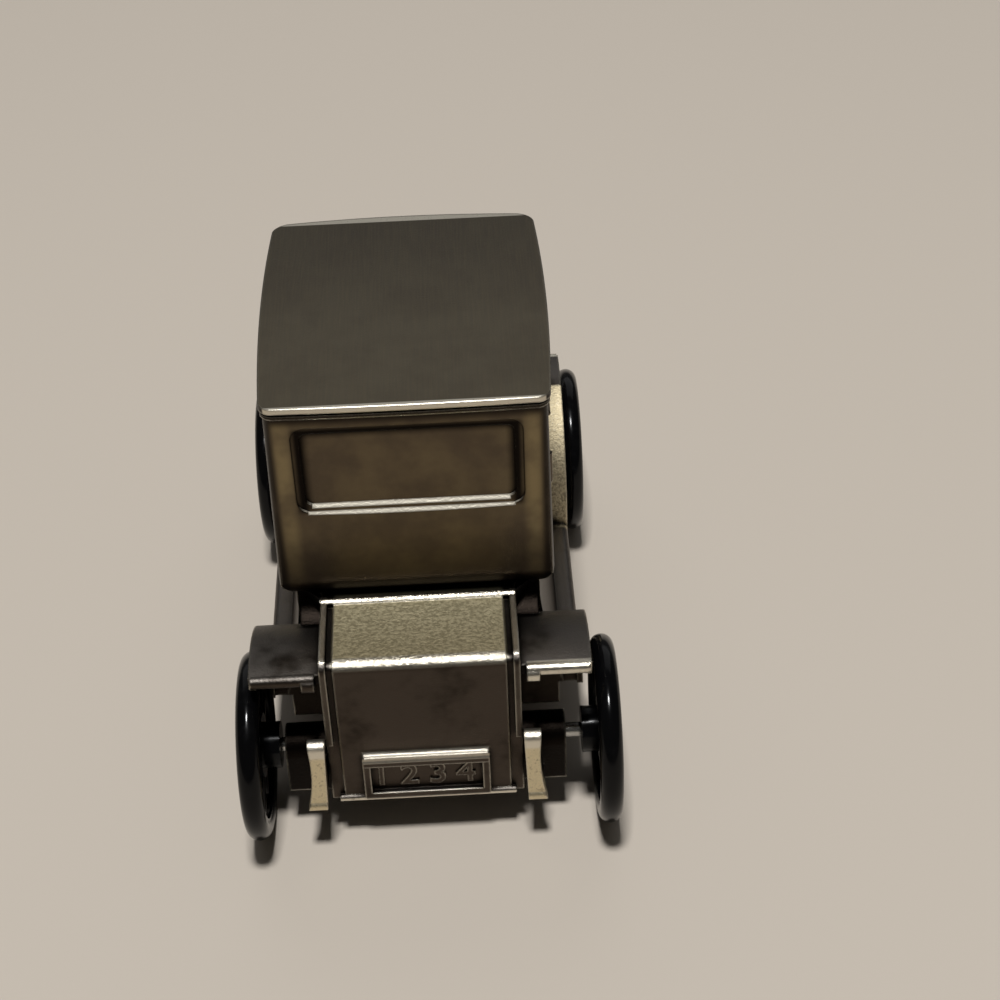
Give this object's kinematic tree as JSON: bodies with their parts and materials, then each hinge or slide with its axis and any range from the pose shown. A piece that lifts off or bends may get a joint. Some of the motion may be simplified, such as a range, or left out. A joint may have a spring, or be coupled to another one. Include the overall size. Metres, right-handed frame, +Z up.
{
  "type": "car coin bank",
  "caption": "Tall early coupe as a die-cast coin bank: coins go in at the rear window, fall through the cab into the chassis and come out at a locked trap underneath.",
  "frame": {"origin": "on the ground, under the middle of the car", "axes": "-Y is the front of the car, +X its left side and +Z up"},
  "size_m": [0.0771, 0.1336, 0.094],
  "materials": {
    "cab_bronze": "zinc die casting plated and antiqued to a dark olive bronze, rubbed bright on its edges",
    "chassis_bronze": "zinc die casting plated and antiqued to bronze, rubbed gold on its raised edges",
    "plate_steel": "sheet steel with a dark brown finish",
    "screw_steel": "zinc-plated steel",
    "axle_steel": "bright drawn steel",
    "wheel_plastic": "black glossy moulded plastic",
    "cover_steel": "pressed steel, plated",
    "lock_brass": "turned brass",
    "rivet_aluminium": "plain",
    "lock_steel": "plated steel"
  },
  "bodies": {
    "body": {"cab_casting": "cab_bronze", "chassis_casting": "chassis_bronze", "base_plate": "plate_steel", "base_plate_screws": "screw_steel", "cab_screws": "screw_steel", "trap_cover": "cover_steel", "lock_barrel": "lock_brass", "barrel_rivets": "rivet_aluminium"},
    "front_axle": {"front_axle": "axle_steel"},
    "rear_axle": {"rear_axle": "axle_steel"},
    "front_left_wheel": {"front_left_wheel": "wheel_plastic"},
    "front_right_wheel": {"front_right_wheel": "wheel_plastic"},
    "rear_left_wheel": {"rear_left_wheel": "wheel_plastic"},
    "rear_right_wheel": {"rear_right_wheel": "wheel_plastic"},
    "lock": {"lock_plug": "lock_brass", "stop_washer": "lock_steel", "lock_cam": "lock_steel", "cam_screw": "lock_steel"}
  },
  "joints": [
    {"name": "front_axle_float", "type": "slide", "parent": "body", "child": "front_axle", "axis": [1, 0, 0], "range_m": [-0.0031, 0.0009]},
    {"name": "rear_axle_float", "type": "slide", "parent": "body", "child": "rear_axle", "axis": [1, 0, 0], "range_m": [-0.002, 0.002]},
    {"name": "front_left_wheel_spin", "type": "hinge", "parent": "front_axle", "child": "front_left_wheel", "pos_m": [0.0368, -0.0475, 0.0193], "axis": [1, 0, 0], "continuous": true},
    {"name": "front_right_wheel_spin", "type": "hinge", "parent": "front_axle", "child": "front_right_wheel", "pos_m": [-0.0346, -0.0475, 0.0193], "axis": [1, 0, 0], "continuous": true},
    {"name": "rear_left_wheel_spin", "type": "hinge", "parent": "rear_axle", "child": "rear_left_wheel", "pos_m": [0.0357, 0.0475, 0.0193], "axis": [1, 0, 0], "continuous": true},
    {"name": "rear_right_wheel_spin", "type": "hinge", "parent": "rear_axle", "child": "rear_right_wheel", "pos_m": [-0.0357, 0.0475, 0.0193], "axis": [1, 0, 0], "continuous": true},
    {"name": "lock_turn", "type": "hinge", "parent": "body", "child": "lock", "pos_m": [0, 0.006, 0.013], "axis": [0, 0, 1], "range_deg": [0, 90]}
  ]
}
